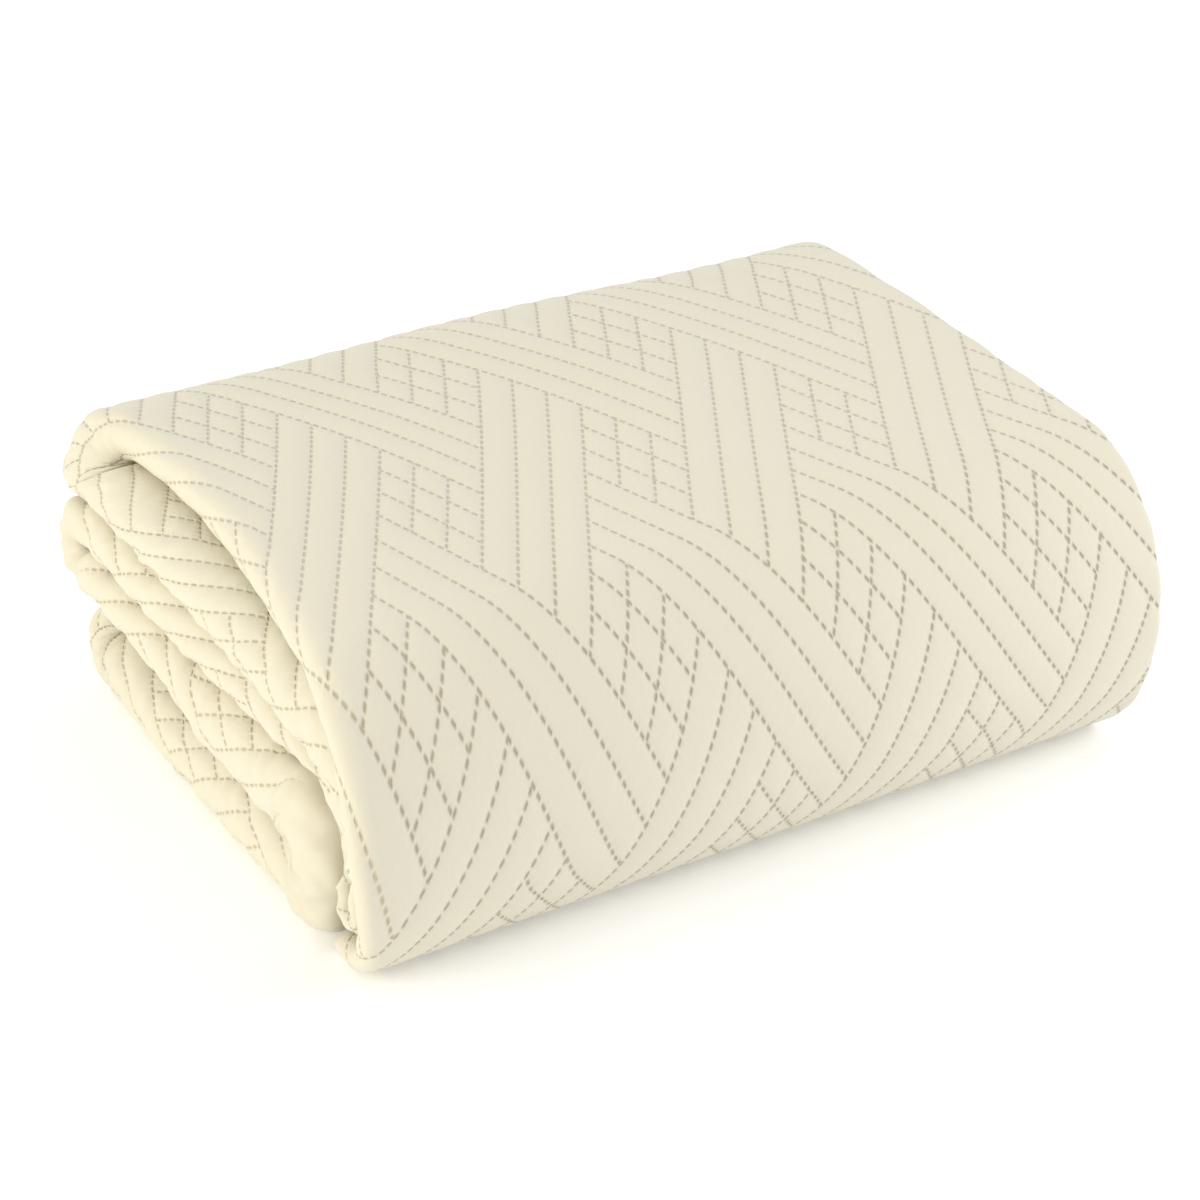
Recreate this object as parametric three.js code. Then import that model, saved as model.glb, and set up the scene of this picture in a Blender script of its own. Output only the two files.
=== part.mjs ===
// A quilted bedspread, folded for the shelf. One cloth, one closed solid.
//
// The cloth is folded twice. First its width is folded in four, so it becomes a long bundle of
// four layers: two bends lie at the left end, one inside the other, and one bend and the two
// side hems lie at the right end. Then the bundle is folded back and forth along its length,
// and its first stretch wraps round the front of the stack and tucks under it.
//
// Millimetres. X runs along the folded length, -Y is the rounded front, +Z is up.
// The origin is the middle of the bottom.

import * as THREE from 'three';

// Driving sizes of the folded bedspread
const LENGTH = 550;
const HEIGHT = 200;
const FRONT_Y = -220;
const GAP = 1.6;              // between one pass of the bundle and the next
const THINNEST = 3.4;         // the cloth where it is pressed
const THICKEST = 7.2;         // the cloth where it is loose
const CLOTH_SHARE = 0.7;      // the cloth's part of each layer's room
const ROLL_DEPTH = 0.56;      // how far a left-end roll bulges, in bundle thicknesses
const DEEPEST_ROLL = 26;
const LEAST_GAP = 0.7;        // between the two left-end bends
const SAME_KEY = 1e-6;        // stations this close in key lie on one line across the rows

// Quilting: two families of stitched lines, which cross at the stations of a slanted lattice
const LINE_STEP = 22.5;       // along X, between lines of one family
const HALF_ANGLE = 25.8;      // degrees from a line to the middle direction of the families
const LEAN_ANGLE = 4;         // degrees from the middle direction to the bundle's length
const COLUMN = LINE_STEP / 2;
const ROW = COLUMN / Math.tan(THREE.MathUtils.degToRad(HALF_ANGLE));
const LEAN = Math.tan(THREE.MathUtils.degToRad(LEAN_ANGLE));
const PUFF = 2.6;             // height of the filling between the stitched lines
const LOWEST_PUFF = 28;       // the filling is pressed flat below this height
const REPEAT = 6;             // lines in one repeat of the woven bands
const BAND = 3;               // stripes in a band
const FIRST_X = -158.5;       // the crossing on the top from which rows and columns count
const FIRST_Y = 122;
const EDGE_MARGIN = 0.6;      // in columns, kept free beside the side bends
const END_MARGIN = 0.4;       // in rows, kept free at both ends of the wrapped pass

// Heights of the creases between the passes of the bundle, at stations from front to back.
// e: top of the lowest pass. f: top of the turned-in end, which lies on it at the back.
// d, c, b: the tops of the next three. top: the top of the wrapped pass.
const creases = [
  { y: -130, e: 46, f: 46, d: 100, c: 122, b: 170, top: 200 },
  { y: -60, e: 46, f: 46, d: 97, c: 130, b: 171, top: 200 },
  { y: 15, e: 46, f: 46, d: 96, c: 132, b: 173, top: 200 },
  { y: 60, e: 44, f: 63, d: 96, c: 133, b: 174, top: 200 },
  { y: 120, e: 44, f: 65, d: 97, c: 132, b: 172, top: 199.5 },
  { y: 190, e: 44, f: 66.5, d: 100, c: 131, b: 168, top: 199 },
];

function crease(name, y) {
  const last = creases.length - 2;
  let k = creases.findIndex((row) => row.y > y) - 1;
  if (k < 0) k = y < creases[0].y ? 0 : last;
  const share = THREE.MathUtils.clamp((y - creases[k].y) / (creases[k + 1].y - creases[k].y), 0, 1);
  const eased = share * share * (3 - 2 * share);
  return THREE.MathUtils.lerp(creases[k][name], creases[k + 1][name], eased);
}

// The faces of the passes that meet at a crease
const under = (name) => (y) => crease(name, y) - GAP / 2;
const over = (name) => (y) => crease(name, y) + GAP / 2;
const floor = () => 0;

// A place on an ellipse in the Y-Z plane
function ring(ellipse, degrees) {
  const a = THREE.MathUtils.degToRad(degrees);
  return [ellipse.y + ellipse.ry * Math.cos(a), ellipse.z + ellipse.rz * Math.sin(a)];
}

// A bend of the bundle: its two faces sweep through the same angles on two ellipses.
// a is the face of the bundle's first layer, b the face of its last. ends are the recesses of
// the left end where the bend starts and stops. roll is the share of its bulge that it keeps.
function bend({ steps, from, to, a, b, ends, roll = 1 }) {
  const rows = [];
  for (let k = 0; k <= steps; k += 1) {
    const angle = THREE.MathUtils.lerp(from, to, k / steps);
    const recess = THREE.MathUtils.lerp(ends[0], ends[1], k / steps);
    rows.push({ a: ring(a, angle), b: ring(b, angle), recess, roll });
  }
  return rows;
}

// A flat pass of the bundle between two creases. from and to are the Y at which its faces a and
// b start and stop. hollow is how much deeper its left end lies halfway.
function pass({ steps, from, to, a, b, ends, hollow }) {
  const rows = [];
  for (let k = 1; k < steps; k += 1) {
    const t = k / steps;
    const ya = THREE.MathUtils.lerp(from.a, to.a, t);
    const yb = THREE.MathUtils.lerp(from.b, to.b, t);
    const recess = THREE.MathUtils.lerp(ends[0], ends[1], t) + hollow * Math.sin(Math.PI * t);
    rows.push({ a: [ya, a(ya)], b: [yb, b(yb)], recess });
  }
  return rows;
}

// The wrapped pass: tucked end, round front and top
const wrap = {
  tuckY: -142,                // the free end of the cloth, under the front
  tuckTop: 16,
  lowY: -155,                 // the round front starts here on the surface
  middleZ: 95,                // its foremost place
  highY: -130,                // and it ends here on the top
  backY: 150,                 // the back bend starts here
  lowWall: 42,                // from lowY to the wall's inner face
  highWall: 67,               // the same from highY
};
const WRAP_RECESS = { tuck: 14, top: 10, hollow: 17, hollowPace: 0.72 };
const WRAP_SHORT = { tuck: 9, front: 5 };   // the right end's recess, on the surface and in front
const FINE_STEPS = 500;                     // per stretch of the wrapped pass

// One row of the wrapped pass, for t from 0 at the tucked end to 4 at the back bend
function wrapAt(t) {
  const mix = THREE.MathUtils.lerp;
  if (t < 1) {
    const y = mix(wrap.tuckY, wrap.lowY, t);
    return { a: [y, 0], b: [y, wrap.tuckTop], recess: WRAP_RECESS.tuck, short: WRAP_SHORT.tuck };
  }
  if (t < 2) {
    const middle = { y: wrap.lowY, z: wrap.middleZ };
    const angle = 270 - 90 * (t - 1);
    return {
      a: ring({ ...middle, ry: wrap.lowY - FRONT_Y, rz: wrap.middleZ }, angle),
      b: ring({ ...middle, ry: wrap.lowWall, rz: wrap.middleZ - wrap.tuckTop }, angle),
      recess: mix(WRAP_RECESS.tuck, WRAP_RECESS.top, t - 1),
      short: mix(WRAP_SHORT.tuck, WRAP_SHORT.front, t - 1),
    };
  }
  if (t < 3) {
    const middle = { y: wrap.highY, z: wrap.middleZ };
    const angle = 180 - 90 * (t - 2);
    const inside = over('b')(wrap.highY) - wrap.middleZ;
    return {
      a: ring({ ...middle, ry: wrap.highY - FRONT_Y, rz: HEIGHT - wrap.middleZ }, angle),
      b: ring({ ...middle, ry: wrap.highWall, rz: inside }, angle),
      recess: WRAP_RECESS.top,
      short: mix(WRAP_SHORT.front, 0, t - 2),
    };
  }
  const y = mix(wrap.highY, wrap.backY, t - 3);
  const wave = Math.sin(Math.PI * Math.min(1, (t - 3) * WRAP_RECESS.hollowPace));
  return {
    a: [y, crease('top', y)],
    b: [y, over('b')(y)],
    recess: WRAP_RECESS.top + WRAP_RECESS.hollow * wave,
  };
}

// Its rows are spaced evenly along the outer face, so that the quilting keeps its scale round
// the front. They count from the first crossing, towards the back.
function wrapRows() {
  const fine = [];
  for (let k = 0; k <= 4 * FINE_STEPS; k += 1) fine.push(wrapAt(k / FINE_STEPS));
  const along = [0];
  for (let k = 1; k < fine.length; k += 1) {
    const [y0, z0] = fine[k - 1].a;
    const [y1, z1] = fine[k].a;
    along.push(along[k - 1] + Math.hypot(y1 - y0, z1 - z0));
  }
  const onTop = (row, k) => k > 3 * FINE_STEPS && row.a[0] >= FIRST_Y;
  const base = along[fine.findIndex(onTop)];
  const total = along[along.length - 1];
  const rows = [{ ...fine[0], line: null }];
  const first = -Math.floor(base / ROW - END_MARGIN);
  for (let j = first; base + j * ROW < total - ROW * END_MARGIN; j += 1) {
    const k = along.findIndex((s) => s >= base + j * ROW);
    rows.push({ ...fine[k], line: j });
  }
  return rows;
}

// Pivots of the back bends, which the bundle goes round, and the curl inside the front
const rearTop = { y: 150, z: 141, out: 70, coreZ: 166, coreR: 4, lowY: 206, lowR: 14 };
const rearMiddle = { y: 187, z: 99.5, out: 30, coreR: 3 };
const rearLow = { y: 172, z: 30, out: 36, coreZ: 43.6, coreR: 3 };
const frontLow = { y: -97, out: 52, up: 54, coreR: 3.5, footY: -111, footOut: 38 };
const curl = { y: -170, z: 51, ry: 19, rz: 21, coreY: 3.4, coreZ: 5 };
const frontWall = { b: 67, c: 44, under: 42 };   // from the front's middle to the inner walls
const ENDED_Y = 56;                              // the turned-in end of the cloth

// The whole bundle, from its tucked end to its turned-in end
function bundleRows() {
  const { highY, middleZ, backY } = wrap;
  const eTop = crease('e', highY);
  const core = { y: backY, z: rearTop.coreZ, ry: rearTop.coreR, rz: rearTop.coreR };
  const middleCore = { ...rearMiddle, ry: rearMiddle.coreR, rz: rearMiddle.coreR };
  const frontCore = { y: frontLow.y, z: eTop, ry: frontLow.coreR, rz: frontLow.coreR };
  const lowCore = { y: rearLow.y, z: rearLow.coreZ, ry: rearLow.coreR, rz: rearLow.coreR };
  const inFront = (ry, top) => ({ y: highY, z: middleZ, ry, rz: top(highY) - middleZ });
  const both = (y) => ({ a: y, b: y });
  return [
    ...wrapRows(),
    // the back bend of the two upper passes, and its lower corner
    ...bend({ steps: 4, from: 90, to: 0, ends: [22, 3], roll: 0.7, b: core,
      a: { y: backY, z: rearTop.z, ry: rearTop.out, rz: crease('top', backY) - rearTop.z } }),
    ...bend({ steps: 3, from: -20, to: -90, ends: [1, 1], roll: 0.35, b: core,
      a: { y: rearTop.lowY, z: rearTop.z, ry: rearTop.lowR, rz: rearTop.z - over('c')(rearTop.lowY) } }),
    // second pass, to the front
    ...pass({ steps: 7, from: { a: rearTop.lowY, b: backY }, to: both(highY),
      a: over('c'), b: under('b'), ends: [5, 6], hollow: -3 }),
    // it hangs down inside the round front, and turns up again at the bottom
    ...bend({ steps: 4, from: 90, to: 180, ends: [6, 12],
      a: inFront(frontWall.c, over('c')), b: inFront(frontWall.b - GAP, under('b')) }),
    ...bend({ steps: 6, from: 180, to: 360, ends: [12, 12],
      a: { ...curl, ry: curl.coreY, rz: curl.coreZ }, b: curl }),
    // third pass, up along the front bend below it and to the back
    ...bend({ steps: 5, from: 176, to: 92, ends: [26, 30], a: inFront(frontWall.under, under('c')),
      b: { y: frontLow.y, z: eTop, ry: frontLow.up, rz: over('d')(highY) - eTop } }),
    ...pass({ steps: 7, from: { a: highY, b: frontLow.y }, to: both(rearMiddle.y),
      a: under('c'), b: over('d'), ends: [26, 4], hollow: -12 }),
    ...bend({ steps: 5, from: 90, to: -90, ends: [1, 2], roll: 0.55, b: middleCore,
      a: { ...rearMiddle, ry: rearMiddle.out, rz: rearMiddle.out } }),
    // fourth pass, to the front, and its bend down to the fifth
    ...pass({ steps: 7, from: both(rearMiddle.y), to: both(frontLow.y),
      a: over('f'), b: under('d'), ends: [2, 0], hollow: 0 }),
    ...bend({ steps: 4, from: 90, to: 180, ends: [0, 2], a: frontCore,
      b: { y: frontLow.y, z: eTop, ry: frontLow.out, rz: under('d')(highY) - eTop } }),
    ...bend({ steps: 3, from: 205, to: 270, ends: [2, 4], a: frontCore,
      b: { y: frontLow.footY, z: eTop, ry: frontLow.footOut, rz: eTop } }),
    // fifth pass, on the surface, and the turned-in end on top of it
    ...pass({ steps: 6, from: { a: frontLow.y, b: frontLow.footY }, to: both(rearLow.y),
      a: under('e'), b: floor, ends: [4, 8], hollow: -3 }),
    ...bend({ steps: 3, from: 270, to: 345, ends: [8, 8], a: lowCore,
      b: { ...rearLow, ry: rearLow.out, rz: rearLow.z } }),
    ...bend({ steps: 3, from: 15, to: 90, ends: [8, 8], a: lowCore,
      b: { ...rearLow, ry: rearLow.out, rz: rearLow.out } }),
    ...pass({ steps: 3, from: both(rearLow.y), to: both(ENDED_Y),
      a: over('e'), b: under('f'), ends: [8, 18], hollow: 0 }),
    { a: [ENDED_Y, over('e')(ENDED_Y)], b: [ENDED_Y, under('f')(ENDED_Y)], recess: 18 },
  ];
}

// One cross-section of the folded width, in x and in n. n runs from 0 on the bundle's last
// face to the bundle's thickness on its first face.
const LAYERS = 4;
const stretches = [
  { name: 'last layer', cells: 2 },
  { name: 'outer left bend', cells: 6 },
  { name: 'first layer', cells: 3 },
  { name: 'right bend', cells: 4 },
  { name: 'second layer', cells: 2 },
  { name: 'inner left bend', cells: 4 },
  { name: 'third layer', cells: 2 },
];
// the same for the faces that lie against each other
const plainCells = { 'outer left bend': 5, 'right bend': 3, 'inner left bend': 3, 'first layer': 2 };
const LAST_HEM = 4;           // how far the side hems stop short of the right bend
const THIRD_HEM = 9;

function widthProfile(thickness, recess, roll, short) {
  const room = thickness / LAYERS;
  const cloth = THREE.MathUtils.clamp(room * CLOTH_SHARE, THINNEST, THICKEST);
  const spread = (thickness - cloth) / (LAYERS - 1);
  const middle = thickness / 2;
  const bulge = roll * Math.min(ROLL_DEPTH * thickness, DEEPEST_ROLL);
  const depth = Math.max(bulge - cloth / 2, spread / 2 + cloth + LEAST_GAP);
  const left = -LENGTH / 2 + recess + depth + cloth / 2;
  const right = LENGTH / 2 - short - spread / 2 - cloth / 2;
  const level = [1.5, 0.5, -0.5, -1.5].map((share) => middle + share * spread);
  const arc = (x, n, rx, rn, degrees) => {
    const a = THREE.MathUtils.degToRad(degrees);
    const nx = Math.cos(a) / rx;
    const nn = Math.sin(a) / rn;
    const size = Math.hypot(nx, nn);
    return { x: x + rx * Math.cos(a), n: n + rn * Math.sin(a), nx: nx / size, nn: nn / size };
  };
  // A point at share t of one stretch: its place, and the way the first face looks
  function at(stretch, t) {
    const mix = THREE.MathUtils.lerp;
    if (stretch === 0) return { x: mix(right - LAST_HEM, left, t), n: level[3], nx: 0, nn: -1 };
    if (stretch === 1) return arc(left, middle, depth, 1.5 * spread, 270 - 180 * t);
    if (stretch === 2) return { x: mix(left, right, t), n: level[0], nx: 0, nn: 1 };
    if (stretch === 3) return arc(right, (level[0] + level[1]) / 2, spread / 2, spread / 2, 90 - 180 * t);
    if (stretch === 4) return { x: mix(right, left, t), n: level[1], nx: 0, nn: -1 };
    if (stretch === 5) {
      const p = arc(left, middle, spread / 2, spread / 2, 90 + 180 * t);
      return { ...p, nx: -p.nx, nn: -p.nn };
    }
    return { x: mix(left, right - THIRD_HEM, t), n: level[2], nx: 0, nn: 1 };
  }
  return { at, cloth, left, right };
}

// Whether a stitched line shows where it crosses one stripe of the other family. Both families
// run in bands of three stripes, which pass over and under each other, with small diamonds
// stitched in the holes between the bands. line and stripe count from the same crossing.
function lineShows(line, stripe, rising) {
  const place = THREE.MathUtils.euclideanModulo(line, REPEAT);
  const inOtherBand = THREE.MathUtils.euclideanModulo(stripe, REPEAT) < BAND;
  if (place > BAND) return !inOtherBand;
  if (!inOtherBand) return true;
  const bandSum = Math.floor(line / REPEAT) + Math.floor(stripe / REPEAT);
  const risingIsOver = THREE.MathUtils.euclideanModulo(bandSum, 2) === 1;
  return rising === risingIsOver;
}

// Whether the cell at column i and row j is split from its near left to its far right corner.
// A split along a stitched line makes a groove, and a split across it joins two raised places.
function splitRising(i, j) {
  const rising = THREE.MathUtils.euclideanModulo(i + j, 2) === 0;
  if (rising) return lineShows((i - j) / 2, (i + j) / 2, true);
  return !lineShows((i + j + 1) / 2, (i - j - 1) / 2, false);
}

// The stations of one row on one face of the cloth. wave is how far the row's right end is back.
function faceRow(row, first, wave) {
  const thickness = Math.hypot(row.a[0] - row.b[0], row.a[1] - row.b[1]);
  const profile = widthProfile(thickness, row.recess, row.roll ?? 1, wave + (row.short ?? 0));
  const side = first ? 1 : -1;
  const points = [];
  const place = (p, key, i, lift) => {
    const n = (p.n + p.nn * (side * profile.cloth / 2 + lift)) / thickness;
    points.push({
      key,
      i,
      x: p.x + p.nx * (side * profile.cloth / 2 + lift),
      y: THREE.MathUtils.lerp(row.b[0], row.a[0], n),
      z: THREE.MathUtils.lerp(row.b[1], row.a[1], n),
    });
  };
  stretches.forEach((stretch, s) => {
    const cells = first ? stretch.cells : plainCells[stretch.name] ?? stretch.cells;
    const quilted = first && s === 2 && Number.isInteger(row.line);
    if (!quilted) {
      for (let k = s === 0 ? 0 : 1; k <= cells; k += 1) {
        place(profile.at(s, k / cells), s + k / cells, null, 0);
      }
      return;
    }
    const origin = FIRST_X + row.line * ROW * LEAN;
    const span = profile.right - profile.left;
    const margin = COLUMN * EDGE_MARGIN;
    for (let i = Math.ceil((profile.left + margin - origin) / COLUMN); ; i += 1) {
      const x = origin + i * COLUMN;
      if (x > profile.right - margin) break;
      const crossing = THREE.MathUtils.euclideanModulo(i + row.line, 2) === 0;
      const key = s + (i * COLUMN + LENGTH) / (2 * LENGTH);
      place(profile.at(s, (x - profile.left) / span), key, i, crossing && row.puffed ? -PUFF : 0);
    }
    place(profile.at(s, 1), s + 1, null, 0);
  });
  return points;
}

// The slow unevenness of a stack that was folded by hand: it leans back and stands higher
// towards its left rear corner and along its rear, and sags a little from place to place. What
// lies on the surface stays flat.
const SWAY_X = 2.5;
const SWAY_Y = 1.5;
const LEAN_BACK = 7;
const REAR_CORNER_RISE = 0.028;   // shares of the height
const REAR_RISE = 0.014;
const SAG = 0.006;

function settle(p) {
  const up = p.z / HEIGHT;
  const rear = THREE.MathUtils.smoothstep(p.y, FRONT_Y, -FRONT_Y);
  const left = THREE.MathUtils.smoothstep(-p.x, -LENGTH / 2, LENGTH / 2);
  return [
    p.x + up * SWAY_X * Math.sin(p.y / 95 + 0.6),
    p.y + up * (LEAN_BACK * rear * left + SWAY_Y * Math.sin(p.x / 90 + 0.4)),
    p.z * (1 + REAR_CORNER_RISE * rear * left + REAR_RISE * rear * Math.cos(Math.PI * p.x / LENGTH)
      + SAG * Math.sin(p.x / 48 + p.y / 170)),
  ];
}

const RIGHT_WAVE = 2;         // the rows' right ends wander by as much to each side
const WAVE_PACE = 0.33;       // radians a row

function bedspreadGeometry() {
  const rows = bundleRows();
  const position = [];
  const index = [];
  const add = (p) => position.push(...settle(p)) / 3 - 1;
  const faces = rows.map((row, r) => {
    const neighbours = [rows[r - 1], rows[r + 1]];
    const inside = neighbours.every((other) => Number.isInteger(other?.line));
    row.puffed = inside && row.a[1] > LOWEST_PUFF;
    const wave = RIGHT_WAVE * (1 + Math.sin(r * WAVE_PACE));
    const numbered = (first) => faceRow(row, first, wave).map((p) => ({ ...p, id: add(p), row }));
    return [numbered(true), numbered(false)];
  });
  // Joins two rows of stations with triangles. flip turns them to face the other way.
  const join = (low, high, flip) => {
    let a = 0;
    let b = 0;
    while (a < low.length - 1 || b < high.length - 1) {
      const nextA = low[a + 1]?.key ?? Infinity;
      const nextB = high[b + 1]?.key ?? Infinity;
      let advanceLow = nextA < nextB;
      if (Math.abs(nextA - nextB) < SAME_KEY) {
        const quilted = low[a].i !== null && low[a].i === high[b].i;
        advanceLow = !quilted || !splitRising(low[a].i, low[a].row.line);
      }
      const triangle = advanceLow
        ? [low[a].id, low[a + 1].id, high[b].id]
        : [low[a].id, high[b + 1].id, high[b].id];
      a += advanceLow ? 1 : 0;
      b += advanceLow ? 0 : 1;
      index.push(...(flip ? triangle.reverse() : triangle));
    }
  };
  for (let r = 1; r < rows.length; r += 1) {
    join(faces[r - 1][0], faces[r][0], false);
    join(faces[r - 1][1], faces[r][1], true);
  }
  // the hems: the two side edges and the two end edges of the cloth
  for (let r = 1; r < rows.length; r += 1) {
    for (const side of ['first', 'last']) {
      const pick = (list) => (side === 'first' ? list[0] : list[list.length - 1]);
      const corner = [pick(faces[r - 1][0]), pick(faces[r][0]), pick(faces[r][1]), pick(faces[r - 1][1])];
      const ids = corner.map((p) => p.id);
      if (side === 'last') ids.reverse();
      index.push(ids[0], ids[1], ids[2], ids[0], ids[2], ids[3]);
    }
  }
  join(faces[0][1], faces[0][0], false);
  join(faces[rows.length - 1][1], faces[rows.length - 1][0], true);
  const geometry = new THREE.BufferGeometry();
  geometry.setAttribute('position', new THREE.Float32BufferAttribute(position, 3));
  geometry.setIndex(index);
  geometry.computeBoundingBox();
  const middle = geometry.boundingBox.getCenter(new THREE.Vector3());
  geometry.translate(-middle.x, -middle.y, 0);
  geometry.computeVertexNormals();
  return geometry;
}

const cream = new THREE.MeshStandardMaterial({ color: 0xefe7cf, roughness: 0.92, metalness: 0 });
const bedspread = new THREE.Mesh(bedspreadGeometry(), cream);
bedspread.name = 'bedspread';

const folded = new THREE.Group();
folded.name = 'folded_bedspread';
folded.add(bedspread);

export default folded;
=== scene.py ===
"""A quilted cream cotton bedspread, folded for the shelf, on a pale studio floor.

The cloth is one closed surface. Its width is folded in four, which makes a long bundle of four
layers, and the bundle is folded back and forth along its length. A point of the cloth is found
from two parameters: the row, which is a place along the bundle's path, and the station, which is
a place across the folded width. Lengths in the shape functions are millimetres.
"""

import bpy
import numpy as np
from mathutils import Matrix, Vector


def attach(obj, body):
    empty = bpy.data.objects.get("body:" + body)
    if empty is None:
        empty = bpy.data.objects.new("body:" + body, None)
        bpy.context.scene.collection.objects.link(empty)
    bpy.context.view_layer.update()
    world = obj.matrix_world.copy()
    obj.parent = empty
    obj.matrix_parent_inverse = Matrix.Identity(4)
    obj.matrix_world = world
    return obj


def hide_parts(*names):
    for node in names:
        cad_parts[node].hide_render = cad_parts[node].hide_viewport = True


bl_info = {
    "name": "Folded quilted bedspread",
    "version": (1, 0, 0),
    "blender": (4, 5, 0),
    "location": "3D View > Sidebar > Bedspread",
    "description": "Builds a folded quilted bedspread and a pale studio round it",
    "category": "Add Mesh",
}

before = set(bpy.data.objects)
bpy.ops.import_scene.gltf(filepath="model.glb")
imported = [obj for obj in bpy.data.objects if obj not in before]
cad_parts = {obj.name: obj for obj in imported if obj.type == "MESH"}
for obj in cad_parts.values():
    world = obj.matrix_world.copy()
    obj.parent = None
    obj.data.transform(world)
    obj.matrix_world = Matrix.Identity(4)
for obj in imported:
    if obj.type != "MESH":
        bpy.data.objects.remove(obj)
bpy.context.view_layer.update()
MM = 0.001

# Driving sizes of the folded bedspread, as in the part's source
LENGTH = 550.0
HEIGHT = 200.0
FRONT_Y = -220.0
GAP = 1.6
THINNEST = 3.4
THICKEST = 7.2
CLOTH_SHARE = 0.7
ROLL_DEPTH = 0.56
DEEPEST_ROLL = 26.0
LEAST_GAP = 0.7
LAYERS = 4

# Heights of the creases between the passes of the bundle, at stations from front to back.
# e: top of the lowest pass. f: top of the turned-in end, which lies on it at the back.
# d, c, b: the tops of the next three. top: the top of the wrapped pass.
CREASE_COLUMNS = ("y", "e", "f", "d", "c", "b", "top")
CREASES = np.array([
    (-130, 46, 46, 100, 122, 170, 200),
    (-60, 46, 46, 97, 130, 171, 200),
    (15, 46, 46, 96, 132, 173, 200),
    (60, 44, 63, 96, 133, 174, 200),
    (120, 44, 65, 97, 132, 172, 199.5),
    (190, 44, 66.5, 100, 131, 168, 199),
], float)


def crease(name, y):
    """Height of a crease at y: the table's heights, eased from station to station by a
    smooth step (3 t squared minus 2 t cubed)."""
    stations = CREASES[:, 0]
    y = np.asarray(y, float)
    k = np.clip(np.searchsorted(stations, y, side="right") - 1, 0, len(stations) - 2)
    share = np.clip((y - stations[k]) / (stations[k + 1] - stations[k]), 0, 1)
    heights = CREASES[:, CREASE_COLUMNS.index(name)]
    return heights[k] + (heights[k + 1] - heights[k]) * share * share * (3 - 2 * share)


def under(name):
    """The upper face of the pass below a crease."""
    return lambda y: crease(name, y) - GAP / 2


def over(name):
    """The lower face of the pass above a crease."""
    return lambda y: crease(name, y) + GAP / 2


def surface(y):
    """What the stack rests on, at height 0."""
    return np.zeros_like(y)


# A row of the bundle has seven fields: y and z of its first face (ay, az), y and z of its last
# face (by, bz), how far its left end lies back (recess), how full its left roll is (roll), and
# how far its right end lies back (short). Each is smoothed along the path by so much:
SMOOTHING = (3.0, 3.0, 3.0, 3.0, 14.0, 14.0, 10.0)
DENSE = 160                   # rows in each segment before they are spaced evenly


def ring(ellipse, degrees, fullness=1.0):
    """A place on an ellipse (y, z, ry, rz): middle plus radius times cosine and sine, which are
    raised to a power below 1 where the ellipse is fuller at its corners."""
    y, z, ry, rz = ellipse
    c, s = np.cos(np.radians(degrees)), np.sin(np.radians(degrees))
    return (y + ry * np.sign(c) * np.abs(c) ** fullness,
            z + rz * np.sign(s) * np.abs(s) ** fullness)


def rows_of(a, b, recess, roll=1.0, short=0.0):
    """Stacks the fields of many rows into one table."""
    shape = np.shape(a[0])
    fields = [*a, *b, recess, roll, short]
    return np.stack([np.broadcast_to(np.asarray(f, float), shape) for f in fields], axis=1)


def bend(turn, a, b, ends, roll=1.0, fullness=1.0, last_fullness=1.0):
    """A bend: both faces sweep through the same angles on their own ellipses, the first with
    fullness and the last with last_fullness. The left end's recess runs evenly from the first
    of ends to the second."""
    t = np.linspace(0, 1, DENSE)
    degrees = turn[0] + (turn[1] - turn[0]) * t
    return rows_of(ring(a, degrees, fullness), ring(b, degrees, last_fullness),
                   ends[0] + (ends[1] - ends[0]) * t, roll)


def flat_pass(start, stop, a, b, ends, hollow=0.0):
    """A pass between two creases: each face runs evenly in y and keeps to its crease. The left
    end's recess is an even run plus a half sine wave of height hollow."""
    t = np.linspace(0, 1, DENSE)
    ya = start[0] + (stop[0] - start[0]) * t
    yb = start[1] + (stop[1] - start[1]) * t
    recess = ends[0] + (ends[1] - ends[0]) * t + hollow * np.sin(np.pi * t)
    return rows_of((ya, a(ya)), (yb, b(yb)), recess)


# The wrapped pass: tucked end, round front and top
TUCK_Y, TUCK_FOOT_Y, TUCK_TOP = -149.5, -139.0, 16.0
LOW_Y, MIDDLE_Z, HIGH_Y, BACK_Y = -155.0, 95.0, -130.0, 150.0
LOW_WALL, HIGH_WALL, C_WALL, UNDER_WALL = 42.0, 67.0, 44.0, 42.0
FIRST_Y = 122.0               # the stitch crossing on the top from which lines count

# Pivots of the back bends and of the curl inside the front
REAR_TOP = {"z": 141.0, "out": 70.0, "core_z": 166.0, "core": 4.0, "low_y": 206.0, "low": 14.0}
REAR_MIDDLE = {"y": 187.0, "z": 99.5, "out": 30.0, "core": 3.0}
REAR_LOW = {"y": 172.0, "z": 30.0, "out": 36.0, "core_z": 43.6, "core": 3.0}
FRONT_LOW = {"y": -97.0, "out": 52.0, "up": 54.0, "core": 3.5, "foot_y": -111.0, "foot": 38.0}
CURL_OUT = (-170.0, 51.0, 19.0, 21.0)
CURL_IN = (-170.0, 51.0, 3.4, 5.0)
ENDED_Y = 56.0
SQUARED = 0.72                # fullness of the bends that press on each other at the rear

# How far the wrapped pass lies back: its left end at the tuck, at the foremost place and on the
# top, the half wave that the top adds and the share of it that is run, and its right end
TUCK_RECESS, FRONT_RECESS, TOP_RECESS = 12.0, -5.0, 10.0
TOP_HOLLOW, HOLLOW_SHARE = 17.0, 0.72
TUCK_SHORT, FRONT_SHORT = 9.0, 5.0

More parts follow.
